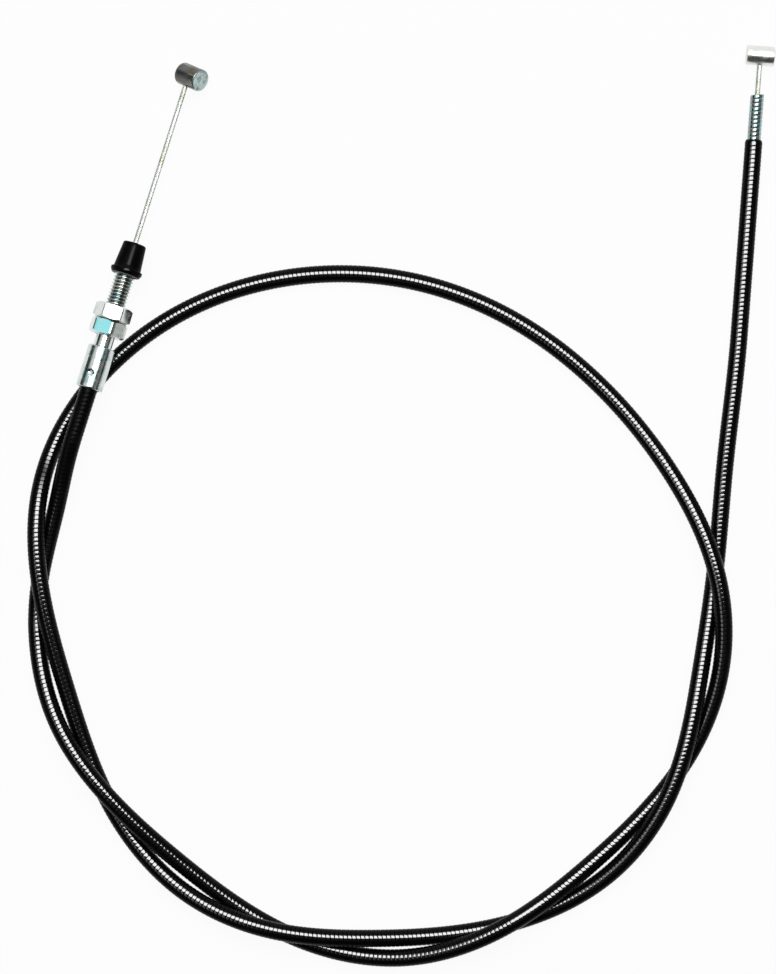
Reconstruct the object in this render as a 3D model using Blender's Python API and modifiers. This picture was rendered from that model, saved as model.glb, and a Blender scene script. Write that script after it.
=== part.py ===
"""Throttle cable lying on a flat surface, with the adjuster's end towards +Y and to the left.

A wire with a barrel nipple at each end runs through a plastic covered conduit. The conduit lies in
one and a half loops that are twisted round each other. One end is crimped into an adjuster with two
lock nuts and a rubber boot, and the other end is bare. Metres, +Z up, the floor at zero height.
"""

import math

import bmesh
import bpy
import numpy as np
from mathutils import Matrix, Vector

# Wire, conduit and jacket, from the inside out
WIRE_OD = 0.0015
WIRE_CLEARANCE = 0.00042
CONDUIT_WALL = 0.00085
SLEEVE_GAP = 0.00012
JACKET_WALL = 0.00046
CONDUIT_BORE = WIRE_OD + 2 * WIRE_CLEARANCE
CONDUIT_OD = CONDUIT_BORE + 2 * CONDUIT_WALL
JACKET_BORE = CONDUIT_OD + 2 * SLEEVE_GAP
JACKET_OD = JACKET_BORE + 2 * JACKET_WALL

# Gaps between pieces that touch
FIT_GAP = 0.0003
REST_GAP = 0.00005
NUT_GAP = 0.00015

# Adjuster: barrel, neck and thread, along its axis from the barrel's open end
BARREL_LENGTH = 0.0127
BARREL_WALL = 0.0011
SOCKET_BORE = JACKET_OD + 2 * FIT_GAP
BARREL_OD = SOCKET_BORE + 2 * BARREL_WALL
SOCKET_DEPTH = 0.0105
BARREL_CHAMFER = 0.0003
NECK_LENGTH = 0.0036
NECK_OD = 0.0055
THREAD_LENGTH = 0.0242
THREAD_OD = 0.0060
THREAD_CHAMFER = 0.0004
ADJUSTER_LENGTH = BARREL_LENGTH + NECK_LENGTH + THREAD_LENGTH
DIMPLE_DIAMETER = 0.0018
DIMPLE_DEPTH = 0.0005
DIMPLE_AT = 0.0049
DIMPLE_ROLL = math.radians(16.5)

# Lock nuts, in the order that they sit on the thread
NUT_ACROSS_FLATS = 0.0100
NUT_HEIGHT = 0.00455
NUT_CHAMFER = 0.00055
NUT_FACE_RATIO = 0.95
NUT_BORE = THREAD_OD + 2 * FIT_GAP
LOWER_NUT_ROLL = math.radians(-15)
UPPER_NUT_ROLL = math.radians(3.5)
NUT_ROUNDING_REACH = 1.2

# Rubber boot, from its open end
BOOT_GRIP = 0.0056
BOOT_RIM_HEIGHT = 0.0010
BOOT_LIP_HEIGHT = 0.0013
BOOT_HEIGHT = 0.00985
BOOT_RIM_OD = 0.0082
BOOT_LIP_OD = 0.0094
BOOT_FOOT_OD = 0.0082
BOOT_TOP_OD = 0.0069
BOOT_ROUNDING = 0.0006
BOOT_WALL = 0.0011
BOOT_AT = ADJUSTER_LENGTH - BOOT_GRIP

# Nipples and the wire that shows between them and the casing. The left one is cast a little out of
# square, and its middle is past the wire towards its raised end
LEFT_NIPPLE_OD = 0.0065
LEFT_NIPPLE_LENGTH = 0.0079
LEFT_NIPPLE_ROLL = math.radians(37)
LEFT_NIPPLE_SKEW = math.radians(12)
LEFT_NIPPLE_SHIFT = 0.0012
LEFT_WIRE_SHOWN = 0.0489
RIGHT_NIPPLE_OD = 0.0058
RIGHT_NIPPLE_LENGTH = 0.0082
RIGHT_WIRE_SHOWN = 0.0084
NIPPLE_EDGE = 0.00025
NIPPLE_HOLE_SHARE = 0.8

# How far the sliding lengths of wire stay inside when they are pulled out
WIRE_HELD = 0.0015

# Where the adjuster lies in plan: the middle of its open end, and its heading from +Y towards +X
ADJUSTER_PLACE = (-0.0916, 0.0345)
ADJUSTER_HEADING = math.radians(17.4)
UNDERPASS_AT = 0.0045

# Where the casing's straight far end starts, in plan, and its heading
STRAIGHT_PLACE = (0.0996, 0.0508)
STRAIGHT_HEADING = math.radians(4.3)
JACKET_STRAIGHT = 0.0574
BARE_CONDUIT = 0.0136

# The casing's route in plan between its two straight ends, and how high it lies: 0 on the floor,
# 1 where it passes over the other turn
ROUTE = (
    (-0.0985, 0.0120, 1.13),
    (-0.1013, 0.0008, 0.47),
    (-0.1042, -0.0103, 0.07),
    (-0.1071, -0.0251, 0.01),
    (-0.1067, -0.0449, 0.25),
    (-0.1010, -0.0639, 0.78),
    (-0.0842, -0.0872, 1.02),
    (-0.0657, -0.1044, 0.49),
    (-0.0301, -0.1277, 0.00),
    (0.0013, -0.1327, 0.51),
    (0.0280, -0.1245, 1.05),
    (0.0561, -0.1048, 0.52),
    (0.0834, -0.0755, 0.00),
    (0.0932, -0.0517, 0.49),
    (0.0926, -0.0205, 1.08),
    (0.0801, 0.0084, 0.50),
    (0.0579, 0.0362, 0.00),
    (0.0332, 0.0549, 0.00),
    (0.0027, 0.0665, 0.00),
    (-0.0272, 0.0682, 0.00),
    (-0.0594, 0.0599, 0.00),
    (-0.0828, 0.0446, 0.00),
    (-0.1038, 0.0143, 0.25),
    (-0.1071, -0.0021, 0.85),
    (-0.1060, -0.0233, 1.03),
    (-0.0985, -0.0542, 0.47),
    (-0.0841, -0.0911, 0.00),
    (-0.0641, -0.1132, 0.51),
    (-0.0395, -0.1240, 1.04),
    (-0.0084, -0.1271, 0.50),
    (0.0329, -0.1227, 0.00),
    (0.0608, -0.1084, 0.48),
    (0.0777, -0.0860, 1.04),
    (0.0881, -0.0476, 0.52),
    (0.0926, -0.0182, 0.00),
    (0.0954, 0.0123, 0.01),
)

# How finely the shapes are cut
TUBE_STEP = 0.0142
TURNED_SIDES = 32
NIPPLE_SIDES = 28
WIRE_SIDES = 12
HOLE_SIDES = 16
TUBE_RESOLUTION = 2
MERGE_DISTANCE = 0.000001
SMOOTH_ANGLE = math.radians(35)

MATERIALS = {
    "black_plastic": ((0.012, 0.012, 0.013), 0.25, 0.0),
    "spring_steel": ((0.55, 0.56, 0.56), 0.3, 1.0),
    "wire_steel": ((0.60, 0.60, 0.57), 0.3, 1.0),
    "zinc_plate": ((0.62, 0.65, 0.64), 0.25, 1.0),
    "die_cast": ((0.50, 0.52, 0.53), 0.35, 1.0),
    "black_rubber": ((0.01, 0.01, 0.011), 0.35, 0.0),
}


def clear_scene():
    for obj in list(bpy.data.objects):
        bpy.data.objects.remove(obj, do_unlink=True)


def new_collection(name):
    collection = bpy.data.collections.new(name)
    bpy.context.scene.collection.children.link(collection)
    return collection


def material(name):
    found = bpy.data.materials.get(name)
    if found:
        return found
    colour, roughness, metallic = MATERIALS[name]
    made = bpy.data.materials.new(name)
    made.use_nodes = True
    shader = made.node_tree.nodes["Principled BSDF"]
    shader.inputs["Base Color"].default_value = (*colour, 1)
    shader.inputs["Roughness"].default_value = roughness
    shader.inputs["Metallic"].default_value = metallic
    return made


def new_object(name, data, slot, collection, parent=None):
    obj = bpy.data.objects.new(name, data)
    collection.objects.link(obj)
    if slot:
        data.materials.clear()
        data.materials.append(material(slot))
    if parent:
        obj.parent = parent
    return obj


def shade(mesh):
    mesh.shade_smooth()
    mesh.set_sharp_from_angle(angle=SMOOTH_ANGLE)


def heading_to_direction(heading, dip):
    """A direction in plan from +Y towards +X, that falls by the dip."""
    flat = math.cos(dip)
    return Vector((math.sin(heading) * flat, math.cos(heading) * flat, -math.sin(dip)))


def new_axis(name, place, direction, collection):
    """An empty with +Z along the direction, +X level and to its left, and +Y upwards."""
    along = direction.normalized()
    left = Vector((0, 0, 1)).cross(along).normalized()
    up = along.cross(left)
    empty = bpy.data.objects.new(name, None)
    collection.objects.link(empty)
    turn = Matrix((left, up, along)).transposed().to_4x4()
    empty.matrix_world = Matrix.Translation(place) @ turn
    return empty


def arc(centre, radius, first, last, steps=4):
    """Points (radius, height) on an arc between two angles in degrees."""
    angles = [math.radians(first + (last - first) * i / steps) for i in range(steps + 1)]
    return [(centre[0] + radius * math.cos(a), centre[1] + radius * math.sin(a)) for a in angles]


def turned(name, profile, slot, collection, parent=None, sides=TURNED_SIDES, closed=True):
    """A turned piece about its Z axis, from a profile that runs down its outer side.

    The profile closes on itself, or it is open and starts and ends on the axis.
    """
    mesh = bpy.data.meshes.new(name)
    ring = bmesh.new()
    verts = [ring.verts.new((radius, 0, height)) for radius, height in profile]
    for first, second in zip(verts, verts[1:]):
        ring.edges.new((first, second))
    if closed:
        ring.edges.new((verts[-1], verts[0]))
    ring.to_mesh(mesh)
    ring.free()
    obj = new_object(name, mesh, slot, collection, parent)
    screw = obj.modifiers.new("turn", "SCREW")
    screw.axis = "Z"
    screw.steps = sides
    screw.render_steps = sides
    screw.use_merge_vertices = True
    screw.merge_threshold = MERGE_DISTANCE
    screw.use_smooth_shade = True
    return obj


def cylinder(name, diameter, length, collection, slot=None, parent=None, sides=TURNED_SIDES):
    """A cylinder about its Z axis, centred on its origin."""
    mesh = bpy.data.meshes.new(name)
    shape = bmesh.new()
    bmesh.ops.create_cone(
        shape, cap_ends=True, segments=sides, radius1=diameter / 2, radius2=diameter / 2, depth=length
    )
    shape.to_mesh(mesh)
    shape.free()
    return new_object(name, mesh, slot, collection, parent)


def as_cutter(obj):
    obj.hide_render = True
    obj.display_type = "WIRE"
    return obj


def boolean(obj, other, operation="DIFFERENCE"):
    modifier = obj.modifiers.new(f"{operation.lower()}_{other.name}", "BOOLEAN")
    modifier.operation = operation
    modifier.solver = "EXACT"
    modifier.object = other


def natural_curve(points, start_direction, end_direction):
    """A smooth curve through the points: a cubic spline that leaves and arrives in given directions."""
    knots = np.concatenate([[0], np.cumsum(np.linalg.norm(np.diff(points, axis=0), axis=1))])
    steps = np.diff(knots)
    slopes = np.diff(points, axis=0) / steps[:, None]
    count = len(points)
    system = np.zeros((count, count))
    wanted = np.zeros((count, 3))
    system[0, :2] = 2 * steps[0], steps[0]
    wanted[0] = 6 * (slopes[0] - np.array(start_direction))
    system[-1, -2:] = steps[-1], 2 * steps[-1]
    wanted[-1] = 6 * (np.array(end_direction) - slopes[-1])
    for i in range(1, count - 1):
        system[i, i - 1 : i + 2] = steps[i - 1], 2 * (steps[i - 1] + steps[i]), steps[i]
        wanted[i] = 6 * (slopes[i] - slopes[i - 1])
    bends = np.linalg.solve(system, wanted)

    def at(distance):
        i = min(max(int(np.searchsorted(knots, distance, "right")) - 1, 0), count - 2)
        after, before, step = distance - knots[i], knots[i + 1] - distance, steps[i]
        bent = (bends[i] * before**3 + bends[i + 1] * after**3) / (6 * step)
        left = (points[i] / step - bends[i] * step / 6) * before
        right = (points[i + 1] / step - bends[i + 1] * step / 6) * after
        return bent + left + right

    return at, knots[-1]


def lie_height(level):
    """The height of the casing's middle: on the floor at level 0, over one turn at level 1."""
    return JACKET_OD / 2 + level * (JACKET_OD + FIT_GAP)


def adjuster_dip():
    """The angle by which the adjuster's axis falls from where it rests on the casing to its nipple."""
    over_casing = JACKET_OD + FIT_GAP + BARREL_OD / 2
    half_length = (LEFT_NIPPLE_LENGTH / 2 - LEFT_NIPPLE_SHIFT) * math.sin(LEFT_NIPPLE_ROLL)
    half_width = LEFT_NIPPLE_OD / 2 * math.cos(LEFT_NIPPLE_ROLL)
    at_nipple = REST_GAP + half_length + half_width
    return math.asin((over_casing - at_nipple) / (left_nipple_at() - UNDERPASS_AT))


def left_nipple_at():
    """The left nipple's middle, along the adjuster's axis."""
    return BOOT_AT + BOOT_HEIGHT + LEFT_WIRE_SHOWN + LEFT_NIPPLE_OD / 2


def right_nipple_at():
    """The right nipple's middle, along the casing's straight end."""
    return JACKET_STRAIGHT + BARE_CONDUIT + RIGHT_WIRE_SHOWN + RIGHT_NIPPLE_OD / 2


def left_wire_starts():
    """The inner end of the straight length of wire in the adjuster, along its axis."""
    return BOOT_AT + BOOT_HEIGHT - RIGHT_WIRE_SHOWN - WIRE_HELD


def right_wire_starts():
    """The inner end of the straight length of wire in the casing's far end."""
    return JACKET_STRAIGHT + BARE_CONDUIT - LEFT_WIRE_SHOWN - WIRE_HELD


def straight_out_of_barrel():
    """How far the casing stays straight below the adjuster, so that the wire can slide in it."""
    return max(LEFT_WIRE_SHOWN - left_wire_starts(), JACKET_OD)


def lay_out():
    """The two straight axes, and the casing's smooth middle points between them."""
    dip = adjuster_dip()
    left_direction = heading_to_direction(ADJUSTER_HEADING, dip)
    over_casing = JACKET_OD + FIT_GAP + BARREL_OD / 2
    left_place = Vector((*ADJUSTER_PLACE, over_casing + UNDERPASS_AT * math.sin(dip)))

    rise = (RIGHT_NIPPLE_OD - JACKET_OD) / 2 + REST_GAP
    right_direction = heading_to_direction(STRAIGHT_HEADING, -math.asin(rise / right_nipple_at()))
    right_place = Vector((*STRAIGHT_PLACE, JACKET_OD / 2))

    first = left_place - left_direction * straight_out_of_barrel()
    points = [first] + [Vector((x, y, lie_height(level))) for x, y, level in ROUTE] + [right_place]
    at, length = natural_curve(np.array(points), -left_direction, right_direction)
    count = round(length / TUBE_STEP)
    middle = [Vector(at(length * i / count)) for i in range(count + 1)]
    for point in middle:
        point.z = max(point.z, JACKET_OD / 2)
    return (left_place, left_direction), (right_place, right_direction), middle


def poly_curve(name, points, diameter, capped, collection, slot=None):
    data = bpy.data.curves.new(name, "CURVE")
    data.dimensions = "3D"
    data.bevel_depth = diameter / 2
    data.bevel_resolution = TUBE_RESOLUTION
    data.use_fill_caps = capped
    spline = data.splines.new("POLY")
    spline.points.add(len(points) - 1)
    for knot, point in zip(spline.points, points):
        knot.co = (*point, 1)
    return new_object(name, data, slot, collection)


def hollow_tube(name, points, outer, bore, slot, collection):
    """A tube along the points: the open outer surface, thickened inwards."""
    curve = poly_curve(f"{name}_line", points, outer, False, collection)
    graph = bpy.context.evaluated_depsgraph_get()
    mesh = bpy.data.meshes.new_from_object(curve.evaluated_get(graph))
    mesh.name = name
    obj = new_object(name, mesh, slot, collection)
    obj.matrix_world = curve.matrix_world
    bpy.data.objects.remove(curve, do_unlink=True)
    shell = bmesh.new()
    shell.from_mesh(mesh)
    bmesh.ops.remove_doubles(shell, verts=shell.verts, dist=MERGE_DISTANCE)
    shell.to_mesh(mesh)
    shell.free()
    shade(mesh)
    wall = obj.modifiers.new("wall", "SOLIDIFY")
    wall.thickness = (outer - bore) / 2
    wall.offset = -1
    wall.use_even_offset = True
    return obj


def casing(parts, left, right, middle):
    """The jacket and the conduit in it, from the adjuster's socket to the bare end."""
    left_place, left_direction = left
    right_place, right_direction = right
    start = left_place + left_direction * (SOCKET_DEPTH - FIT_GAP)
    jacket_end = right_place + right_direction * JACKET_STRAIGHT
    conduit_end = jacket_end + right_direction * BARE_CONDUIT
    hollow_tube(
        "casing_jacket", [start, *middle, jacket_end], JACKET_OD, JACKET_BORE, "black_plastic", parts
    )
    hollow_tube(
        "casing_conduit", [start, *middle, conduit_end], CONDUIT_OD, CONDUIT_BORE, "spring_steel", parts
    )


def wire(parts, left, right, middle):
    """The wire: a straight sliding length at each end, and the bent length between them."""
    left_place, left_direction = left
    right_place, right_direction = right
    bent_start = left_place + left_direction * (left_wire_starts() - FIT_GAP)
    bent_end = right_place + right_direction * (right_wire_starts() - FIT_GAP)
    poly_curve("inner_wire", [bent_start, *middle, bent_end], WIRE_OD, True, parts, "wire_steel")


def straight_wire(name, first, nipple_at, nipple_od, parts, parent):
    """A straight length of wire along its parent's axis, into the hole of its nipple."""
    last = nipple_at + (NIPPLE_HOLE_SHARE - 0.5) * nipple_od - FIT_GAP
    obj = cylinder(name, WIRE_OD, last - first, parts, "wire_steel", parent, WIRE_SIDES)
    obj.location = (0, 0, (first + last) / 2)
    shade(obj.data)


def nipple(name, nipple_at, diameter, length, pose, parts, cutters, parent):
    """A barrel nipple across the wire, with the wire's hole.

    Its pose is the roll that raises its right end, the skew that turns that end back towards the
    casing, and the shift of its middle towards that end.
    """
    roll, skew, shift = pose
    half, edge = length / 2, NIPPLE_EDGE
    profile = [(0, half), (diameter / 2 - edge, half), (diameter / 2, half - edge)]
    profile += [(diameter / 2, edge - half), (diameter / 2 - edge, -half), (0, -half)]
    obj = turned(name, profile, "die_cast", parts, parent, NIPPLE_SIDES, False)
    across = Matrix.Rotation(-skew, 4, "Y") @ Matrix.Rotation(-roll, 4, "Z")
    across = across @ Matrix.Rotation(math.radians(-90), 4, "Y")
    obj.location = Vector((0, 0, nipple_at)) + across.to_3x3() @ Vector((0, 0, shift))
    obj.rotation_euler = across.to_euler()
    depth = NIPPLE_HOLE_SHARE * diameter
    hole = cylinder(f"{name}_hole", WIRE_OD + 2 * FIT_GAP, 2 * depth, cutters, None, parent, HOLE_SIDES)
    hole.location = (0, 0, nipple_at - diameter / 2)
    as_cutter(hole)
    boolean(obj, hole)


def adjuster(parts, cutters, parent):
    """One turned piece: the socket for the casing, a neck and the drilled thread, and the crimp."""
    neck_at = BARREL_LENGTH
    thread_at = BARREL_LENGTH + NECK_LENGTH
    barrel, socket, bore = BARREL_OD / 2, SOCKET_BORE / 2, CONDUIT_BORE / 2
    neck, thread = NECK_OD / 2, THREAD_OD / 2
    profile = [(bore, ADJUSTER_LENGTH), (thread - THREAD_CHAMFER, ADJUSTER_LENGTH)]
    profile += [(thread, ADJUSTER_LENGTH - THREAD_CHAMFER), (thread, thread_at)]
    profile += [(neck, thread_at), (neck, neck_at), (barrel - BARREL_CHAMFER, neck_at)]
    profile += [(barrel, neck_at - BARREL_CHAMFER), (barrel, BARREL_CHAMFER)]
    profile += [(barrel - BARREL_CHAMFER, 0), (socket, 0), (socket, SOCKET_DEPTH), (bore, SOCKET_DEPTH)]
    obj = turned("adjuster", profile, "zinc_plate", parts, parent)
    ball_radius = (DIMPLE_DIAMETER**2 / 4 + DIMPLE_DEPTH**2) / (2 * DIMPLE_DEPTH)
    out = barrel - DIMPLE_DEPTH + ball_radius
    mesh = bpy.data.meshes.new("crimp_ball")
    ball = bmesh.new()
    bmesh.ops.create_uvsphere(ball, u_segments=16, v_segments=10, radius=ball_radius)
    ball.to_mesh(mesh)
    ball.free()
    dimple = as_cutter(new_object("crimp_ball", mesh, None, cutters, parent))
    dimple.location = (out * math.sin(DIMPLE_ROLL), out * math.cos(DIMPLE_ROLL), DIMPLE_AT)
    boolean(obj, dimple)


def lock_nut(name, bottom, roll, parts, cutters, parent):
    """A hexagon nut with both ends chamfered round, and a chamfered bore. Its origin is its foot."""
    corner = NUT_ACROSS_FLATS / 2 / math.cos(math.radians(30))
    obj = cylinder(name, 2 * corner, NUT_HEIGHT, parts, "zinc_plate", parent, 6)
    obj.data.transform(Matrix.Rotation(math.radians(30), 4, "Z"))
    obj.data.transform(Matrix.Translation((0, 0, NUT_HEIGHT / 2)))
    obj.location = (0, 0, bottom)
    obj.rotation_euler = (0, 0, roll)

    face = NUT_ACROSS_FLATS / 2 * NUT_FACE_RATIO
    reach = NUT_ROUNDING_REACH * corner
    fall = (reach - face) * NUT_CHAMFER / (corner - face)
    bore, lead = NUT_BORE / 2, NUT_CHAMFER
    rounding = [(bore + lead, NUT_HEIGHT), (face, NUT_HEIGHT), (reach, NUT_HEIGHT - fall)]
    rounding += [(reach, fall), (face, 0), (bore + lead, 0), (bore, lead), (bore, NUT_HEIGHT - lead)]
    shape = as_cutter(turned(f"{name}_rounding", rounding, None, cutters, parent))
    shape.location = obj.location
    boolean(obj, shape, "INTERSECT")
    shade(obj.data)


def boot(parts, parent):
    """The rubber boot on the thread's end: a lipped cone with a hole for the wire in its round top."""
    rim, lip = BOOT_RIM_OD / 2, BOOT_LIP_OD / 2
    foot, top = BOOT_FOOT_OD / 2, BOOT_TOP_OD / 2
    lip_top = BOOT_RIM_HEIGHT + BOOT_LIP_HEIGHT
    hole = WIRE_OD / 2 + FIT_GAP
    grip = THREAD_OD / 2 + FIT_GAP
    inside = top - BOOT_WALL
    round_at = (top - BOOT_ROUNDING, BOOT_HEIGHT - BOOT_ROUNDING)
    profile = [(hole, BOOT_HEIGHT)] + arc(round_at, BOOT_ROUNDING, 90, 0)
    profile += [(foot, lip_top), (lip, lip_top), (lip, BOOT_RIM_HEIGHT), (rim, 0), (grip, 0)]
    profile += [(grip, BOOT_GRIP + FIT_GAP), (inside, BOOT_GRIP + FIT_GAP)]
    profile += [(inside, BOOT_HEIGHT - BOOT_WALL), (hole, BOOT_HEIGHT - BOOT_WALL)]
    obj = turned("rubber_boot", profile, "black_rubber", parts, parent)
    obj.location = (0, 0, BOOT_AT)


def build():
    clear_scene()
    parts = new_collection("throttle_cable")
    cutters = new_collection("throttle_cable_cutters")
    left, right, middle = lay_out()
    left_axis = new_axis("adjuster_axis", *left, parts)
    right_axis = new_axis("bare_end_axis", *right, parts)
    casing(parts, left, right, middle)
    wire(parts, left, right, middle)
    adjuster(parts, cutters, left_axis)
    lower_nut_at = BARREL_LENGTH + NECK_LENGTH
    upper_nut_at = lower_nut_at + NUT_HEIGHT + NUT_GAP
    lock_nut("lower_lock_nut", lower_nut_at, LOWER_NUT_ROLL, parts, cutters, left_axis)
    lock_nut("upper_lock_nut", upper_nut_at, UPPER_NUT_ROLL, parts, cutters, left_axis)
    boot(parts, left_axis)
    straight_wire(
        "inner_wire_left_end", left_wire_starts(), left_nipple_at(), LEFT_NIPPLE_OD, parts, left_axis
    )
    left_pose = (LEFT_NIPPLE_ROLL, LEFT_NIPPLE_SKEW, LEFT_NIPPLE_SHIFT)
    nipple(
        "nipple_left", left_nipple_at(), LEFT_NIPPLE_OD, LEFT_NIPPLE_LENGTH, left_pose, parts, cutters,
        left_axis,
    )
    straight_wire(
        "inner_wire_right_end", right_wire_starts(), right_nipple_at(), RIGHT_NIPPLE_OD, parts, right_axis
    )
    level = (0.0, 0.0, 0.0)
    nipple(
        "nipple_right", right_nipple_at(), RIGHT_NIPPLE_OD, RIGHT_NIPPLE_LENGTH, level, parts, cutters,
        right_axis,
    )


build()
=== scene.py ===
import math

import bmesh
import bpy
import numpy as np
from bpy.props import FloatProperty, FloatVectorProperty, IntProperty, PointerProperty
from mathutils import Matrix, Vector


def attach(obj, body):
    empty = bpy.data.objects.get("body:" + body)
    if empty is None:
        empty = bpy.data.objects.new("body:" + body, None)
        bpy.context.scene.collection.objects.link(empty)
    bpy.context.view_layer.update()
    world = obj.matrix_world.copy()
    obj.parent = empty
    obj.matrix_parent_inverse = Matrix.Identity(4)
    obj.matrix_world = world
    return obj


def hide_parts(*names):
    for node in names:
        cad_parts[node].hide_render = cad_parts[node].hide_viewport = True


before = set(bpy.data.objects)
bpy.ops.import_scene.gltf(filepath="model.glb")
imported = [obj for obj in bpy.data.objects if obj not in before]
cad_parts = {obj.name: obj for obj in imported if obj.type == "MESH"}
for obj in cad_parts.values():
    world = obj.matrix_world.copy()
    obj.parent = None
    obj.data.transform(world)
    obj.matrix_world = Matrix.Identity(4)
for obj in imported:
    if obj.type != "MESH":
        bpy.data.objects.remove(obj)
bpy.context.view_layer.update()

bl_info = {
    "name": "Throttle cable",
    "version": (1, 0, 0),
    "blender": (4, 5, 0),
    "location": "View3D > Sidebar > Throttle cable",
    "description": "Dresses a throttle cable: ribbed casing, bare conduit, wire, nipples, adjuster and boot",
    "category": "Object",
}

UP = Vector((0, 0, 1))

# The adjuster's axis, from the middle of its open end, and the casing's straight far end
LEFT_PLACE = (-0.0916, 0.0345, 0.009753)
LEFT_AXIS = (0.298567, 0.952728, -0.056271)
RIGHT_PLACE = (0.0996, 0.0508, 0.0026)
RIGHT_AXIS = (0.074978, 0.997176, 0.004253)

# Along the adjuster's axis
SOCKET_DEPTH = 0.0105
BARREL_LENGTH = 0.0127
THREAD_STARTS = 0.0163
LOWER_NUT_AT = 0.0163
UPPER_NUT_AT = 0.0210
LOWER_NUT_ROLL = math.radians(-15)
UPPER_NUT_ROLL = math.radians(3.5)
BOOT_AT = 0.0349
ADJUSTER_END = 0.0405
LEFT_WIRE_STARTS = 0.03485
LEFT_NIPPLE_AT = 0.0969
LEFT_NIPPLE_ROLL = math.radians(37)
LEFT_NIPPLE_SKEW = math.radians(12)
LEFT_NIPPLE_SHIFT = 0.0012
STRAIGHT_OUT = 0.01405

# Along the straight far end
JACKET_STRAIGHT = 0.0574
BARE_CONDUIT = 0.0136
RIGHT_WIRE_STARTS = 0.0206
RIGHT_NIPPLE_AT = 0.0823

# The casing's thickness, how far a turn rises over the other, and the gap at the socket's floor
CASING_OUTER = 0.0052
RISE = 0.0055
SOCKET_GAP = 0.0003

# The casing's route in plan, and its level: 0 on the floor, 1 over the other turn
ROUTE = (
    (-0.0985, 0.0120, 1.13), (-0.1013, 0.0008, 0.47), (-0.1042, -0.0103, 0.07),
    (-0.1071, -0.0251, 0.01), (-0.1067, -0.0449, 0.25), (-0.1010, -0.0639, 0.78),
    (-0.0842, -0.0872, 1.02), (-0.0657, -0.1044, 0.49), (-0.0301, -0.1277, 0.00),
    (0.0013, -0.1327, 0.51), (0.0280, -0.1245, 1.05), (0.0561, -0.1048, 0.52),
    (0.0834, -0.0755, 0.00), (0.0932, -0.0517, 0.49), (0.0926, -0.0205, 1.08),
    (0.0801, 0.0084, 0.50), (0.0579, 0.0362, 0.00), (0.0332, 0.0549, 0.00),
    (0.0027, 0.0665, 0.00), (-0.0272, 0.0682, 0.00), (-0.0594, 0.0599, 0.00),
    (-0.0828, 0.0446, 0.00), (-0.1038, 0.0143, 0.25), (-0.1071, -0.0021, 0.85),
    (-0.1060, -0.0233, 1.03), (-0.0985, -0.0542, 0.47), (-0.0841, -0.0911, 0.00),
    (-0.0641, -0.1132, 0.51), (-0.0395, -0.1240, 1.04), (-0.0084, -0.1271, 0.50),
    (0.0329, -0.1227, 0.00), (0.0608, -0.1084, 0.48), (0.0777, -0.0860, 1.04),
    (0.0881, -0.0476, 0.52), (0.0926, -0.0182, 0.00), (0.0954, 0.0123, 0.01),
)

# A guess, made only to match the photo's highlights: the jacket is dull by the barrel, where it lies high
# over the other turn. On each axis, the two places between which that changes
DULL_X, DULL_Y, DULL_Z = (-0.08, -0.07), (0.0, 0.012), (0.0060, 0.0075)

# Another: its ribs are shallow where the photo's highlights run together into a line. In plan, and how far
# each way along it
SHALLOW_RIBS = ((-0.1077, -0.0353, 0.0021), (0.0368, -0.1190, 0.0060))


# Settings

LENGTH = {"unit": "LENGTH", "precision": 5}
FINE_LENGTH = {"unit": "LENGTH", "precision": 6}
COLOUR = {"subtype": "COLOR", "size": 3, "min": 0, "max": 1}


class CasingSettings(bpy.types.PropertyGroup):
    outer: FloatProperty(name="Jacket diameter", description="Over the ribs", default=CASING_OUTER, **LENGTH)
    bore: FloatProperty(name="Jacket bore", description="Around the conduit", default=0.00428, **LENGTH)
    pitch: FloatProperty(
        name="Rib pitch", description="From one rib to the next", default=0.001285, **FINE_LENGTH
    )
    groove: FloatProperty(
        name="Groove depth", description="Between two ribs", default=0.00015, **FINE_LENGTH
    )
    sides: IntProperty(name="Sides", description="Faces round the jacket", default=16, min=8, max=18)
    coil_outer: FloatProperty(
        name="Conduit diameter", description="Over its turns", default=0.00404, **LENGTH
    )
    coil_pitch: FloatProperty(
        name="Conduit pitch", description="From turn to turn where bare", default=0.001236, **FINE_LENGTH
    )
    coil_width: FloatProperty(
        name="Conduit wire width", description="Along the conduit", default=0.0012, **LENGTH
    )
    coil_height: FloatProperty(
        name="Conduit wire height", description="Across its wall", default=0.00085, **LENGTH
    )
    plastic: FloatVectorProperty(
        name="Jacket colour", description="Black plastic", default=(0.0022, 0.0022, 0.0026), **COLOUR
    )
    steel: FloatVectorProperty(
        name="Conduit colour", description="Drawn spring wire", default=(0.35, 0.39, 0.37), **COLOUR
    )


class WireSettings(bpy.types.PropertyGroup):
    outer: FloatProperty(name="Wire diameter", description="Over its strands", default=0.0015, **LENGTH)
    strands: IntProperty(name="Strands", description="In the outer layer", default=12, min=6, max=18)
    lay: FloatProperty(name="Lay", description="Length of one turn of a strand", default=0.013, **LENGTH)
    steel: FloatVectorProperty(
        name="Wire colour", description="Bright stranded steel", default=(0.66, 0.69, 0.66), **COLOUR
    )


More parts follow.
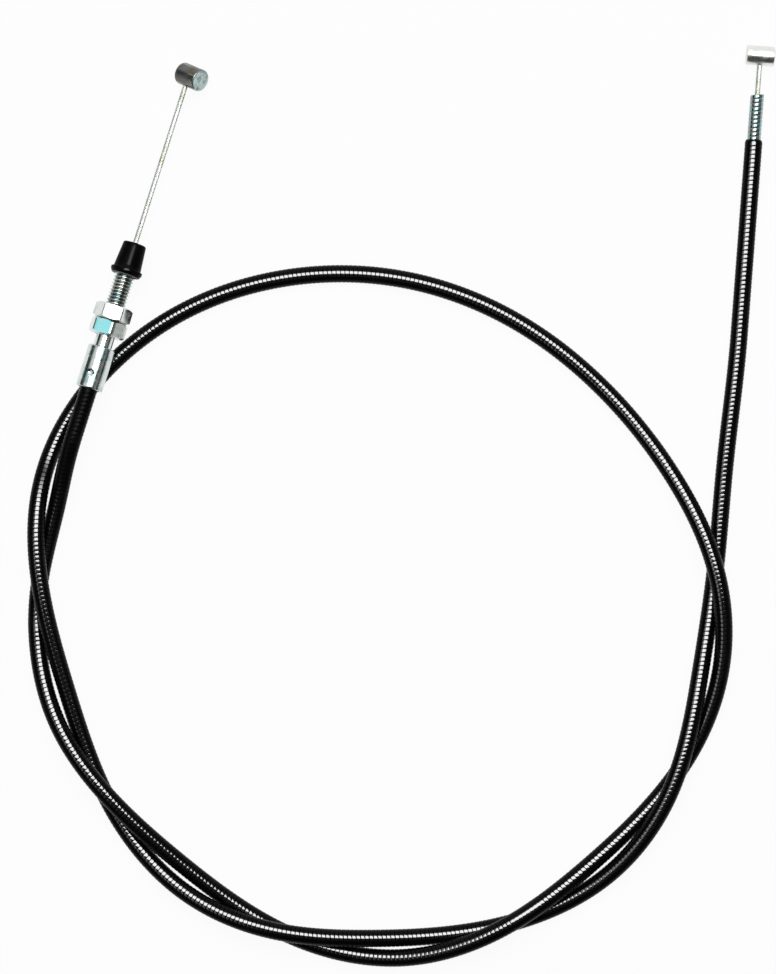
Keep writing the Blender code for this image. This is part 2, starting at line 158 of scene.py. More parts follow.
class NippleSettings(bpy.types.PropertyGroup):
    left_outer: FloatProperty(
        name="Left diameter", description="Nipple by the adjuster", default=0.0065, **LENGTH
    )
    left_length: FloatProperty(
        name="Left length", description="Nipple by the adjuster", default=0.0079, **LENGTH
    )
    right_outer: FloatProperty(
        name="Right diameter", description="Nipple by the bare conduit", default=0.0058, **LENGTH
    )
    right_length: FloatProperty(
        name="Right length", description="Nipple by the bare conduit", default=0.0082, **LENGTH
    )
    bright: FloatVectorProperty(
        name="Bright casting", description="Right nipple's zinc", default=(0.82, 0.84, 0.80), **COLOUR
    )
    # Painted highlight, partly the cut metal's own colour: the left nipple's end faces
    end: FloatVectorProperty(
        name="Cut end", description="Left nipple's end faces", default=(0.50, 0.63, 0.62), **COLOUR
    )
    # Painted shade: the left nipple's colour, darkened to stand for the dark reflection along it
    dull: FloatVectorProperty(
        name="Dull casting", description="Left nipple's zinc", default=(0.14, 0.147, 0.147), **COLOUR
    )


class AdjusterSettings(bpy.types.PropertyGroup):
    barrel: FloatProperty(name="Barrel diameter", description="Crimped ferrule", default=0.008, **LENGTH)
    neck: FloatProperty(
        name="Neck diameter", description="Plain neck over the barrel", default=0.0055, **LENGTH
    )
    thread: FloatProperty(name="Thread diameter", description="Over its crests", default=0.006, **LENGTH)
    thread_pitch: FloatProperty(name="Thread pitch", description="M6 coarse", default=0.001, **LENGTH)
    nut_flats: FloatProperty(name="Nut size", description="Across its flats", default=0.010, **LENGTH)
    nut_height: FloatProperty(name="Nut height", description="Along the thread", default=0.00455, **LENGTH)
    plating: FloatVectorProperty(
        name="Plating colour", description="Bright zinc", default=(0.72, 0.76, 0.73), **COLOUR
    )
    tint: FloatVectorProperty(
        name="Passivation tint", description="Blue-green film", default=(0.36, 0.56, 0.57), **COLOUR
    )
    # Painted reflection, partly the real blue-green film: the colour of one nut flat
    teal: FloatVectorProperty(
        name="Teal film", description="Where the film lies thickest", default=(0.34, 0.90, 0.96), **COLOUR
    )
    rubber: FloatVectorProperty(
        name="Rubber colour", description="Black boot", default=(0.0018, 0.0018, 0.002), **COLOUR
    )


class StageSettings(bpy.types.PropertyGroup):
    camera_height: FloatProperty(
        name="Camera height", description="Above the casing's middle", default=1.0, unit="LENGTH"
    )
    lamp_power: FloatProperty(name="Lamp power", description="Softbox", default=15.0, unit="POWER")
    floor: FloatVectorProperty(
        name="Floor colour", description="White table", default=(0.8, 0.8, 0.8), **COLOUR
    )
    glow: FloatProperty(
        name="Floor glow", description="Share of the floor's white that shadows don't darken",
        default=0.94, min=0, max=1, subtype="FACTOR",
    )


class ThrottleCableSettings(bpy.types.PropertyGroup):
    casing: PointerProperty(name="Casing", description="Jacket and conduit", type=CasingSettings)
    wire: PointerProperty(name="Wire", description="Inner wire", type=WireSettings)
    nipples: PointerProperty(name="Nipples", description="Both ends", type=NippleSettings)
    adjuster: PointerProperty(name="Adjuster", description="Adjuster, nuts and boot", type=AdjusterSettings)
    stage: PointerProperty(name="Stage", description="Floor, lamp and camera", type=StageSettings)


# Node helpers


def fill(tree, socket, value):
    """Links another socket into this one, or sets its value."""
    if isinstance(value, bpy.types.NodeSocket):
        tree.links.new(value, socket)
    elif socket.type == "RGBA" and len(value) == 3:
        socket.default_value = (*value, 1)
    else:
        socket.default_value = value


def put(tree, kind, inputs=None, **settings):
    """Adds a node, sets its settings, and fills or links its inputs."""
    made = tree.nodes.new(kind)
    for name, value in settings.items():
        setattr(made, name, value)
    for name, value in (inputs or {}).items():
        fill(tree, made.inputs[name], value)
    return made


def mixed(tree, factor, first, second):
    """Two colours mixed by a factor."""
    made = put(tree, "ShaderNodeMix", data_type="RGBA")
    for number, value in ((0, factor), (6, first), (7, second)):
        fill(tree, made.inputs[number], value)
    return made.outputs[2]


def ranged(tree, value, low, high, to_low, to_high, smooth=False):
    """A value's range mapped to another and held at its ends, with eased ends where smooth."""
    made = put(
        tree,
        "ShaderNodeMapRange",
        inputs={"Value": value, "From Min": low, "From Max": high, "To Min": to_low, "To Max": to_high},
        interpolation_type="SMOOTHSTEP" if smooth else "LINEAR",
    )
    return made.outputs["Result"]


def maths(tree, operation, first, second=0.0):
    """One sum on values or sockets."""
    made = put(tree, "ShaderNodeMath", operation=operation)
    for socket, value in zip(made.inputs, (first, second)):
        fill(tree, socket, value)
    return made.outputs[0]


def noise(tree, place, scale, detail, **more):
    """Noise at a place, from 0 to 1."""
    inputs = {"Vector": place, "Scale": scale, "Detail": detail, **more}
    return put(tree, "ShaderNodeTexNoise", inputs=inputs).outputs["Fac"]


def split(tree, vector):
    """A vector's X, Y and Z."""
    return put(tree, "ShaderNodeSeparateXYZ", inputs={"Vector": vector}).outputs


def new_group(name, inputs, outputs):
    """An empty shader node group with named sockets. Each is (name, type, default)."""
    tree = bpy.data.node_groups.new(name, "ShaderNodeTree")
    for socket_name, kind, default in inputs:
        socket = tree.interface.new_socket(socket_name, in_out="INPUT", socket_type=kind)
        if default is not None:
            socket.default_value = default
    for socket_name, kind in outputs:
        tree.interface.new_socket(socket_name, in_out="OUTPUT", socket_type=kind)
    return tree, tree.nodes.new("NodeGroupInput"), tree.nodes.new("NodeGroupOutput")


def fine_grain_group():
    """Grain and scuffs for any surface: a fine even grain, and sparse rubbed patches."""
    found = bpy.data.node_groups.get("fine_grain")
    if found:
        return found
    tree, given, result = new_group(
        "fine_grain",
        [
            ("Coordinates", "NodeSocketVector", None),
            ("Grain scale", "NodeSocketFloat", 3000.0),
            ("Scuff scale", "NodeSocketFloat", 260.0),
            ("Scuff share", "NodeSocketFloat", 0.35),
        ],
        [("Grain", "NodeSocketFloat"), ("Scuffs", "NodeSocketFloat")],
    )
    place = given.outputs["Coordinates"]
    even = noise(tree, place, given.outputs["Grain scale"], 3.0)
    patches = noise(tree, place, given.outputs["Scuff scale"], 5.0, Roughness=0.65)
    floor = maths(tree, "SUBTRACT", 0.78, given.outputs["Scuff share"])
    scuffs = ranged(tree, patches, floor, 0.75, 0.0, 1.0, True)
    tree.links.new(even, result.inputs["Grain"])
    tree.links.new(scuffs, result.inputs["Scuffs"])
    return tree


def stain_group():
    """A metal's colour as its film of plating or oxide varies: the bare colour, a tint and dark specks."""
    found = bpy.data.node_groups.get("metal_film")
    if found:
        return found
    tree, given, result = new_group(
        "metal_film",
        [
            ("Coordinates", "NodeSocketVector", None),
            ("Metal", "NodeSocketColor", (0.6, 0.6, 0.6, 1)),
            ("Tint", "NodeSocketColor", (0.3, 0.5, 0.5, 1)),
            ("Tint share", "NodeSocketFloat", 0.4),
            ("Patch scale", "NodeSocketFloat", 300.0),
            ("Speck share", "NodeSocketFloat", 0.2),
        ],
        [("Color", "NodeSocketColor")],
    )
    place = given.outputs["Coordinates"]
    patches = noise(tree, place, given.outputs["Patch scale"], 4.0, Roughness=0.6, Distortion=0.6)
    start = maths(tree, "SUBTRACT", 0.85, given.outputs["Tint share"])
    end = maths(tree, "ADD", start, 0.22)
    tinted = ranged(tree, patches, start, end, 0.0, 1.0, True)
    colour = mixed(tree, tinted, given.outputs["Metal"], given.outputs["Tint"])
    specks = noise(tree, place, 2400.0, 2.0, Roughness=0.8)
    low = maths(tree, "SUBTRACT", 0.80, maths(tree, "MULTIPLY", given.outputs["Speck share"], 0.5))
    speck = ranged(tree, specks, low, 0.85, 0.0, 0.8, True)
    dark = put(tree, "ShaderNodeMix", data_type="RGBA", blend_type="MULTIPLY")
    tree.links.new(speck, dark.inputs[0])
    tree.links.new(colour, dark.inputs[6])
    dark.inputs[7].default_value = (0.25, 0.24, 0.22, 1)
    tree.links.new(dark.outputs[2], result.inputs["Color"])
    return tree


def new_material(name, roughness, metallic=0.0, **constants):
    """A material with a Principled shader, and the object's own coordinates."""
    made = bpy.data.materials.new(name)
    made.use_nodes = True
    tree = made.node_tree
    shader = tree.nodes["Principled BSDF"]
    shader.inputs["Roughness"].default_value = roughness
    shader.inputs["Metallic"].default_value = metallic
    for socket, value in constants.items():
        shader.inputs[socket.replace("_", " ")].default_value = value
    place = put(tree, "ShaderNodeTexCoord").outputs["Object"]
    return made, tree, shader, place


def film(tree, place, metal, tint, tint_share, patch_scale, speck_share):
    """The colour of metal under its film."""
    made = put(
        tree, "ShaderNodeGroup", node_tree=stain_group(),
        inputs={
            "Coordinates": place, "Metal": (*metal, 1), "Tint": (*tint, 1), "Tint share": tint_share,
            "Patch scale": patch_scale, "Speck share": speck_share,
        },
    )
    return made.outputs["Color"]


def grain(tree, shader, place, scales, scuff_share, roughness, height):
    """Gives a shader its grain, and its roughness from plain to scuffed. Puts out the scuffs."""
    made = put(
        tree, "ShaderNodeGroup", node_tree=fine_grain_group(),
        inputs={
            "Coordinates": place, "Grain scale": scales[0], "Scuff scale": scales[1],
            "Scuff share": scuff_share,
        },
    )
    scuffs = made.outputs["Scuffs"]
    tree.links.new(ranged(tree, scuffs, 0.0, 1.0, *roughness), shader.inputs["Roughness"])
    bumps = put(
        tree, "ShaderNodeBump", inputs={"Height": made.outputs["Grain"], "Distance": height, "Strength": 1.0}
    )
    tree.links.new(bumps.outputs["Normal"], shader.inputs["Normal"])
    return scuffs


# Materials


def casing_plastic(settings):
    """Glossy black plastic, with faint grain and a little dust, made dull by the barrel."""
    made, tree, shader, place = new_material(
        "casing_plastic", 0.25, Specular_IOR_Level=0.06, Coat_Roughness=0.12, Coat_IOR=2.4
    )
    scuffs = grain(tree, shader, place, (1800.0, 190.0), 0.3, (0.22, 0.32), 0.000006)
    colour = mixed(tree, scuffs, settings.plastic, [c * 1.8 for c in settings.plastic])
    tree.links.new(colour, shader.inputs["Base Color"])
    facing = put(tree, "ShaderNodeLayerWeight", inputs={"Blend": 0.5}).outputs["Facing"]
    gloss = ranged(tree, facing, 0.025, 0.08, 1.0, 0.0, True)
    parts = split(tree, place)
    dull = maths(
        tree, "MULTIPLY", ranged(tree, parts["Y"], *DULL_Y, 0.0, 1.0, True),
        ranged(tree, parts["Z"], *DULL_Z, 0.0, 1.0, True),
    )
    dull = maths(tree, "MULTIPLY", dull, ranged(tree, parts["X"], *DULL_X, 1.0, 0.0, True))
    gloss = maths(tree, "MULTIPLY", gloss, maths(tree, "SUBTRACT", 1.0, dull))
    tree.links.new(gloss, shader.inputs["Coat Weight"])
    return made


def conduit_steel(settings):
    """Drawn spring wire, with fine lines along it and darker film in patches."""
    made, tree, shader, place = new_material("conduit_steel", 0.28, 1.0)
    colour = film(tree, place, settings.steel, (0.30, 0.48, 0.50), 0.45, 260.0, 0.2)
    tree.links.new(colour, shader.inputs["Base Color"])
    grain(tree, shader, place, (4000.0, 500.0), 0.35, (0.2, 0.36), 0.000008)
    return made


def strand_steel(settings):
    """Bright stranded wire with a trace of grease between its strands."""
    made, tree, shader, place = new_material("strand_steel", 0.24, 1.0)
    colour = film(tree, place, settings.steel, (0.45, 0.48, 0.34), 0.4, 120.0, 0.15)
    tree.links.new(colour, shader.inputs["Base Color"])
    grain(tree, shader, place, (6000.0, 700.0), 0.3, (0.2, 0.34), 0.000004)
    return made


def zinc_plating(settings, name="zinc_plating", tint_share=0.4, painted_teal_face=False, thread=False):
    """Bright zinc plate, mottled by its blue-green film, with rubbed and duller patches.

    One option paints one flat of a nut teal: partly its blue-green film, partly a painted reflection. The
    thread option paints shade over a thread's flanks, darkest at its root.
    """
    made, tree, shader, place = new_material(name, 0.2, 1.0)
    colour = film(tree, place, settings.plating, settings.tint, tint_share, 330.0, 0.55)
    if painted_teal_face:
        # Painted reflection, partly the real film: the flat facing the nut's own +Y is painted teal, in
        # patches
        normal = put(tree, "ShaderNodeTexCoord").outputs["Normal"]
        facing = split(tree, normal)["Y"]
        flat = ranged(tree, facing, 0.9, 0.97, 0.0, 1.0, True)
        patches = noise(tree, place, 700.0, 3.0)
        painted_reflection_strength = ranged(tree, patches, 0.35, 0.6, 0.7, 1.0, True)
        colour = mixed(tree, maths(tree, "MULTIPLY", flat, painted_reflection_strength), colour, settings.teal)
    if thread:
        # Painted shade: the thread's flanks darken towards the root, above where the thread starts
        parts = split(tree, place)
        squares = [maths(tree, "MULTIPLY", parts[axis], parts[axis]) for axis in "XY"]
        away = maths(tree, "SQRT", maths(tree, "ADD", *squares))
        root_radius, crest_radius = 0.00246, 0.00286
        root = ranged(tree, away, root_radius, crest_radius, 0.85, 0.0)
        above = maths(tree, "GREATER_THAN", parts["Z"], THREAD_STARTS)
        colour = mixed(tree, maths(tree, "MULTIPLY", root, above), colour, (0.09, 0.085, 0.075))
    tree.links.new(colour, shader.inputs["Base Color"])
    grain(tree, shader, place, (2600.0, 420.0), 0.4, (0.15, 0.3), 0.00001)
    return made


def nipple_casting(name, metal, film_share, end, half_length):
    """Die-cast zinc: a brown film, painted highlights in streaks along it, partly marks from its die, and
    its end faces in their own colour, partly a painted highlight.
    """
    made, tree, shader, place = new_material(name, 0.35, 1.0)
    filmed = film(tree, place, metal, (0.13, 0.11, 0.075), film_share, 300.0, 0.5)
    # Painted highlights: pale streaks along the nipple, partly marks from its die
    along = put(tree, "ShaderNodeMapping", inputs={"Vector": place, "Scale": (1.0, 1.0, 0.06)})
    lines = noise(tree, along.outputs["Vector"], 1500.0, 2.0)
    line_highlights = ranged(tree, lines, 0.56, 0.68, 0.0, 0.6, True)
    colour = mixed(tree, line_highlights, filmed, [min(1.0, c * 3.2) for c in metal])
    # Painted highlight, partly their own colour: the end faces take the end colour in patches
    along = split(tree, place)["Z"]
    end_face_highlight = maths(tree, "GREATER_THAN", maths(tree, "ABSOLUTE", along), half_length - 0.00012)
    patches = noise(tree, place, 500.0, 3.0)
    end_face_highlight = maths(tree, "MULTIPLY", end_face_highlight, ranged(tree, patches, 0.4, 0.55, 0.35, 1.0, True))
    colour = mixed(tree, end_face_highlight, colour, end)
    tree.links.new(colour, shader.inputs["Base Color"])
    grain(tree, shader, place, (1900.0, 380.0), 0.45, (0.26, 0.45), 0.00002)
    return made


def boot_rubber(settings):
    """Smooth black rubber, slightly pale in patches, with a painted reflection: pale grey at its open end.
    """
    made, tree, shader, place = new_material(
        "boot_rubber", 0.3, Specular_IOR_Level=0.03, Coat_Roughness=0.1, Coat_IOR=1.36
    )
    scuffs = grain(tree, shader, place, (2200.0, 240.0), 0.4, (0.28, 0.42), 0.000012)
    colour = mixed(tree, scuffs, settings.rubber, [c * 2.2 for c in settings.rubber])
    # Painted reflection: pale grey over the lowest part of the open end, below the lip
    height = split(tree, place)["Z"]
    painted_rim_reflection = ranged(tree, height, 0.0001, 0.0004, 1.0, 0.0, True)
    colour = mixed(tree, painted_rim_reflection, colour, (0.22, 0.22, 0.21))
    tree.links.new(colour, shader.inputs["Base Color"])
    facing = put(tree, "ShaderNodeLayerWeight", inputs={"Blend": 0.5}).outputs["Facing"]
    tree.links.new(ranged(tree, facing, 0.004, 0.03, 1.0, 0.0, True), shader.inputs["Coat Weight"])
    return made


# Shapes


def natural_curve(points, start_direction, end_direction):
    """A smooth curve through the points: a cubic spline that leaves and arrives in given directions."""
    knots = np.concatenate([[0], np.cumsum(np.linalg.norm(np.diff(points, axis=0), axis=1))])
    steps = np.diff(knots)
    slopes = np.diff(points, axis=0) / steps[:, None]
    count = len(points)
    system = np.zeros((count, count))
    wanted = np.zeros((count, 3))
    system[0, :2] = 2 * steps[0], steps[0]
    wanted[0] = 6 * (slopes[0] - np.array(start_direction))
    system[-1, -2:] = steps[-1], 2 * steps[-1]
    wanted[-1] = 6 * (np.array(end_direction) - slopes[-1])
    for i in range(1, count - 1):
        system[i, i - 1 : i + 2] = steps[i - 1], 2 * (steps[i - 1] + steps[i]), steps[i]
        wanted[i] = 6 * (slopes[i] - slopes[i - 1])
    bends = np.linalg.solve(system, wanted)

    def at(distance):
        i = np.clip(np.searchsorted(knots, distance, "right") - 1, 0, count - 2)
        step = steps[i][:, None]
        after, before = (distance - knots[i])[:, None], (knots[i + 1] - distance)[:, None]
        bent = (bends[i] * before**3 + bends[i + 1] * after**3) / (6 * step)
        left = (points[i] / step - bends[i] * step / 6) * before
        right = (points[i + 1] / step - bends[i + 1] * step / 6) * after
        return bent + left + right

    return at, knots[-1]


class Line:
    """A line in space, measured along its length, with an upward and a sideways direction."""

    def __init__(self, points):
        self.points = np.array(points, float)
        gaps = np.linalg.norm(np.diff(self.points, axis=0), axis=1)
        self.along = np.concatenate([[0], np.cumsum(gaps)])
        self.length = self.along[-1]
        tangents = np.gradient(self.points, self.along, axis=0)
        self.tangents = tangents / np.linalg.norm(tangents, axis=1)[:, None]

    def at(self, along):
        """Points, upward directions and sideways directions at distances along the line."""
        place = np.stack([np.interp(along, self.along, self.points[:, k]) for k in range(3)], -1)
        ahead = np.stack([np.interp(along, self.along, self.tangents[:, k]) for k in range(3)], -1)
        ahead /= np.linalg.norm(ahead, axis=-1)[..., None]
        up = np.array([0.0, 0.0, 1.0]) - ahead[..., 2:] * ahead
        up /= np.linalg.norm(up, axis=-1)[..., None]
        return place, up, np.cross(ahead, up)


class Axis:
    """A straight line along +Z, with +Y upward."""

    def at(self, along):
        along = np.asarray(along, float)
        zero = np.zeros_like(along)
        place = np.stack([zero, zero, along], -1)
        up = np.broadcast_to([0.0, 1.0, 0.0], place.shape)
        side = np.broadcast_to([-1.0, 0.0, 0.0], place.shape)
        return place, up, side


def casing_line():
    """The casing's middle, from inside the adjuster's socket to the bare conduit's end."""
    left, left_axis = np.array(LEFT_PLACE), np.array(LEFT_AXIS)
    right, right_axis = np.array(RIGHT_PLACE), np.array(RIGHT_AXIS)
    radius = CASING_OUTER / 2
    heights = [(x, y, radius + level * RISE) for x, y, level in ROUTE]
    first = left - left_axis * STRAIGHT_OUT
    at, length = natural_curve(np.array([first, *heights, right]), -left_axis, right_axis)
    middle = at(np.linspace(0, length, 4400))
    middle[:, 2] = np.maximum(middle[:, 2], radius)
    inside = SOCKET_DEPTH - SOCKET_GAP
    before = [left + left_axis * inside * (1 - k / 40) for k in range(40)]
    before += [left - left_axis * STRAIGHT_OUT * k / 50 for k in range(50)]
    far = JACKET_STRAIGHT + BARE_CONDUIT
    after = [right + right_axis * far * k / 280 for k in range(1, 281)]
    return Line([*before, *middle, *after]), inside


def around(place, up, side, angle, radius):
    """Points round a line's points, at an angle from upward towards its side."""
    out = np.cos(angle)[..., None] * up + np.sin(angle)[..., None] * side
    return place + radius[..., None] * out


def helical_skin(line, radius, pitch, profile, sides, first, last, depth):
    """A skin with a helical ridge: its rows follow the helix. The profile is (share of a pitch, drop).

    The first and last turns flatten onto plain rings. depth gives the drop's size at distances along.
    """
    rows = len(profile)
    turns = math.ceil((last - first) / pitch) + 2
    count = turns * sides + 1
    steps = np.arange(count)
    shares = np.array([share for share, _ in profile])
    drops = np.array([drop for _, drop in profile])
    along = first - pitch + pitch * (steps[:, None] / sides + shares)
    fade = np.clip((along - first) / pitch, 0, 1) * np.clip((last - along) / pitch, 0, 1)
    along = np.clip(along, first, last)
    angle = np.broadcast_to((2 * math.pi * steps / sides)[:, None], along.shape)
    place, up, side = line.at(along)
    points = around(place, up, side, angle, radius - drops * fade * depth(along))
    index = np.arange(count * rows).reshape(count, rows)
    inner = np.stack([index[:-1, :-1], index[1:, :-1], index[1:, 1:], index[:-1, 1:]], -1)
    last_row, next_row = index[: count - sides, -1], index[sides:, 0]
    seam = np.stack([last_row[:-1], last_row[1:], next_row[1:], next_row[:-1]], -1)
    return points.reshape(-1, 3), np.concatenate([inner.reshape(-1, 4), seam])


def joined_rings(rings, sides):
    """Faces between rings of points, in order."""
    index = np.arange(rings * sides).reshape(rings, sides)
    turned = np.roll(index, -1, axis=1)
    return np.stack([index[:-1], turned[:-1], turned[1:], index[1:]], -1).reshape(-1, 4)


def ring_skin(line, stations, sides):
    """A skin of plain rings at (distance along, radius) stations."""
    along = np.array([a for a, _ in stations])
    radius = np.array([r for _, r in stations])
    angle = 2 * math.pi * np.arange(sides) / sides
    place, up, side = (v[:, None, :] for v in line.at(along))
    points = around(place, up, side, np.broadcast_to(angle, (len(along), sides)), radius[:, None])
    return points.reshape(-1, 3), joined_rings(len(along), sides)


def mesh_of(name, skins, sharp=35.0, merge=0.0000004):
    """One mesh of several skins, joined where their points meet, with its faces turned outwards."""
    points, faces, first = [], [], 0
    for skin_points, skin_faces in skins:
        points.append(skin_points)
        faces.extend((np.asarray(skin_faces) + first).tolist())
        first += len(skin_points)
    mesh = bpy.data.meshes.new(name)
    mesh.from_pydata(np.concatenate(points).tolist(), [], faces)
    shape = bmesh.new()
    shape.from_mesh(mesh)
    bmesh.ops.remove_doubles(shape, verts=shape.verts, dist=merge)
    bmesh.ops.dissolve_degenerate(shape, edges=shape.edges, dist=merge)
    bmesh.ops.recalc_face_normals(shape, faces=shape.faces)
    shape.to_mesh(mesh)
    shape.free()
    mesh.shade_smooth()
    mesh.set_sharp_from_angle(angle=math.radians(sharp))
    return mesh


def fill_ends(mesh, sides):
    """Fills the open ends of a mesh."""
    shape = bmesh.new()
    shape.from_mesh(mesh)
    edges = [e for e in shape.edges if e.is_boundary]
    bmesh.ops.holes_fill(shape, edges=edges, sides=sides)
    bmesh.ops.recalc_face_normals(shape, faces=shape.faces)
    shape.to_mesh(mesh)
    shape.free()


def add_piece(name, mesh, material, body, replaced, matrix=None):
    """Places a piece, gives it its material, and ties it to its body and to what it replaces."""
    obj = bpy.data.objects.new(name, mesh)
    bpy.context.scene.collection.objects.link(obj)
    mesh.materials.clear()
    mesh.materials.append(material)
    if matrix:
        obj.matrix_world = matrix
    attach(obj, body)
    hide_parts(*replaced)


def axis_matrix(place, axis, at=0.0):
    """A frame so far along the axis: +Z along it, +X level and to its left, and +Y upwards."""
    along = Vector(axis).normalized()
    left = UP.cross(along).normalized()
    turn = Matrix((left, along.cross(left), along)).transposed().to_4x4()
    return Matrix.Translation(place) @ turn @ Matrix.Translation((0, 0, at))


def arc(centre, radius, first, last, steps):
    """(distance along, radius) stations on an arc, its angles in degrees from outwards."""
    angles = np.radians(np.linspace(first, last, steps + 1))
    return [(centre[0] + radius * math.sin(a), centre[1] + radius * math.cos(a)) for a in angles]


def fixed_material(name, make):
    """The material of that name, made once."""
    return bpy.data.materials.get(name) or make()


# Operators


class CABLE_OT_stage(bpy.types.Operator):
    """Make the floor, the softbox, the dim room and the camera"""

    bl_idname = "throttle_cable.stage"
    bl_label = "Stage"

    def execute(self, context):
        settings = context.scene.throttle_cable.stage
        context.scene.view_settings.view_transform = "Standard"

        camera_data = bpy.data.cameras.new("camera")
        camera = bpy.data.objects.new("camera", camera_data)
        context.scene.collection.objects.link(camera)
        camera.location = (-0.0040, 0.0057, 0.0025 + settings.camera_height)
        camera_data.sensor_fit = "VERTICAL"
        camera_data.sensor_height = 24.0
        half_view_at_a_metre = 0.14367
        camera_data.lens = 12.0 / half_view_at_a_metre
        camera_data.sensor_width = 24.0
        camera_data.clip_start = 0.01
        context.scene.camera = camera

        lamp_data = bpy.data.lights.new("softbox", "AREA")
        lamp_data.shape = "RECTANGLE"
        lamp_data.size = 1.05
        lamp_data.size_y = 0.86
        lamp_data.energy = settings.lamp_power
        lamp = bpy.data.objects.new("softbox", lamp_data)
        context.scene.collection.objects.link(lamp)
        lamp.location = (0.075, 0.49, 1.3)

        world = bpy.data.worlds.new("dim_room")
        context.scene.world = world
        world.use_nodes = True
        tree = world.node_tree
        rays = put(tree, "ShaderNodeLightPath")
        direction = put(tree, "ShaderNodeTexCoord").outputs["Generated"]
        parts = split(tree, direction)

        def band(axis, low, high, to_low=0.0, to_high=1.0):
            return ranged(tree, parts[axis], low, high, to_low, to_high, True)

        horizon = band("Z", 0.0, 0.03, 1.0, 0.0)
        white = maths(tree, "MAXIMUM", rays.outputs["Is Camera Ray"], horizon)
        wall = band("Y", 0.45, 0.75)
        left = maths(tree, "MULTIPLY", band("X", -0.25, -0.5), band("Z", 0.45, 0.85))
        right = maths(tree, "MULTIPLY", band("X", 0.6, 0.75, 0.0, 0.25), band("Z", 0.35, 0.55))
        low = maths(tree, "MULTIPLY", band("X", 0.8, 0.95, 0.0, 0.85), band("Z", 0.06, 0.16, 1.0, 0.0))
        pale = maths(tree, "MAXIMUM", maths(tree, "MAXIMUM", wall, left), maths(tree, "MAXIMUM", right, low))
        room = mixed(tree, pale, (0.03, 0.03, 0.032), (0.95, 0.95, 0.94))
        colour = mixed(tree, white, room, (1, 1, 1))
        tree.links.new(colour, tree.nodes["Background"].inputs["Color"])

        mesh = bpy.data.meshes.new("floor")
        half = 8.0
        corners = [(-half, -half, 0), (half, -half, 0), (half, half, 0), (-half, half, 0)]
        mesh.from_pydata(corners, [], [(0, 1, 2, 3)])
        floor = bpy.data.objects.new("floor", mesh)
        floor.location.z = -0.0001
        context.scene.collection.objects.link(floor)
        material = bpy.data.materials.new("white_table")
        material.use_nodes = True
        tree = material.node_tree
        shader = tree.nodes["Principled BSDF"]
        shader.inputs["Base Color"].default_value = (*settings.floor, 1)
        shader.inputs["Roughness"].default_value = 0.9
        shader.inputs["Specular IOR Level"].default_value = 0.0
        rays = put(tree, "ShaderNodeLightPath")
        seen = maths(tree, "MAXIMUM", rays.outputs["Is Camera Ray"], rays.outputs["Is Glossy Ray"])
        seen = maths(tree, "MAXIMUM", seen, rays.outputs["Is Transmission Ray"])
        glow = put(tree, "ShaderNodeEmission", inputs={"Color": (1, 1, 1, 1)})
        share = maths(tree, "MULTIPLY", seen, settings.glow)
        blend = put(tree, "ShaderNodeMixShader", inputs={"Fac": share})
        tree.links.new(shader.outputs["BSDF"], blend.inputs[1])
        tree.links.new(glow.outputs["Emission"], blend.inputs[2])
        tree.links.new(blend.outputs["Shader"], tree.nodes["Material Output"].inputs["Surface"])
        mesh.materials.append(material)
        return {"FINISHED"}


class CABLE_OT_casing(bpy.types.Operator):
    """Make the ribbed jacket along the casing's whole route"""

    bl_idname = "throttle_cable.casing"
    bl_label = "Casing jacket"

    def execute(self, context):
        settings = context.scene.throttle_cable.casing
        line, inside = casing_line()
        sides = settings.sides
        radius, bore = settings.outer / 2, settings.bore / 2
        rounding = 0.0011
        end, ribs_start = line.length - BARE_CONDUIT, inside + 0.0004
        groove = [(0.0, 1.0), (0.1, 0.12), (0.22, 0.01), (0.5, 0.0), (0.78, 0.01), (0.9, 0.12)]
        random = np.random.default_rng(5)
        wander = random.normal(0, 1, 1200)
        unevenness, shallowness = 0.07, 0.85
        shallow = []
        for x, y, reach in SHALLOW_RIBS:
            away = np.hypot(line.points[:, 0] - x, line.points[:, 1] - y)
            shallow.append((line.along[np.argmin(away)], reach))

        def depth(along):
            turn = along / settings.pitch
            uneven = np.interp(turn, np.arange(len(wander)), wander)
            size = np.clip(1 + unevenness * uneven, 0.7, 1.3)
            for at, reach in shallow:
                size = size * (1 - shallowness * np.clip(4 - 4 * np.abs(along - at) / reach, 0, 1))
            return settings.groove * size

        skin = helical_skin(
            line, radius, settings.pitch, groove, sides, ribs_start, end - rounding, depth
        )
        angles = np.radians([22, 45, 65, 80, 90])
        shoulder = [(end - rounding, radius)]
        shoulder += [
            (end - rounding + rounding * math.sin(a), bore + (radius - bore) * math.cos(a)) for a in angles
        ]
        back = [(end - (end * k / 160), bore) for k in range(1, 161)]
        front = [(0.0, radius), (inside * 0.5, radius), (ribs_start, radius)]
        rest = ring_skin(line, shoulder + back + front, sides)
        mesh = mesh_of("casing_jacket_skin", [skin, rest], 33.0)
        material = fixed_material("casing_plastic", lambda: casing_plastic(settings))
        add_piece("jacket", mesh, material, "casing", ["casing_jacket"])
        path = line.at(np.linspace(0, end, 640))[0]
        context.scene["casing_length"] = float(end - inside)
        context.scene["casing_path"] = [float(v) for point in path for v in point]
        return {"FINISHED"}


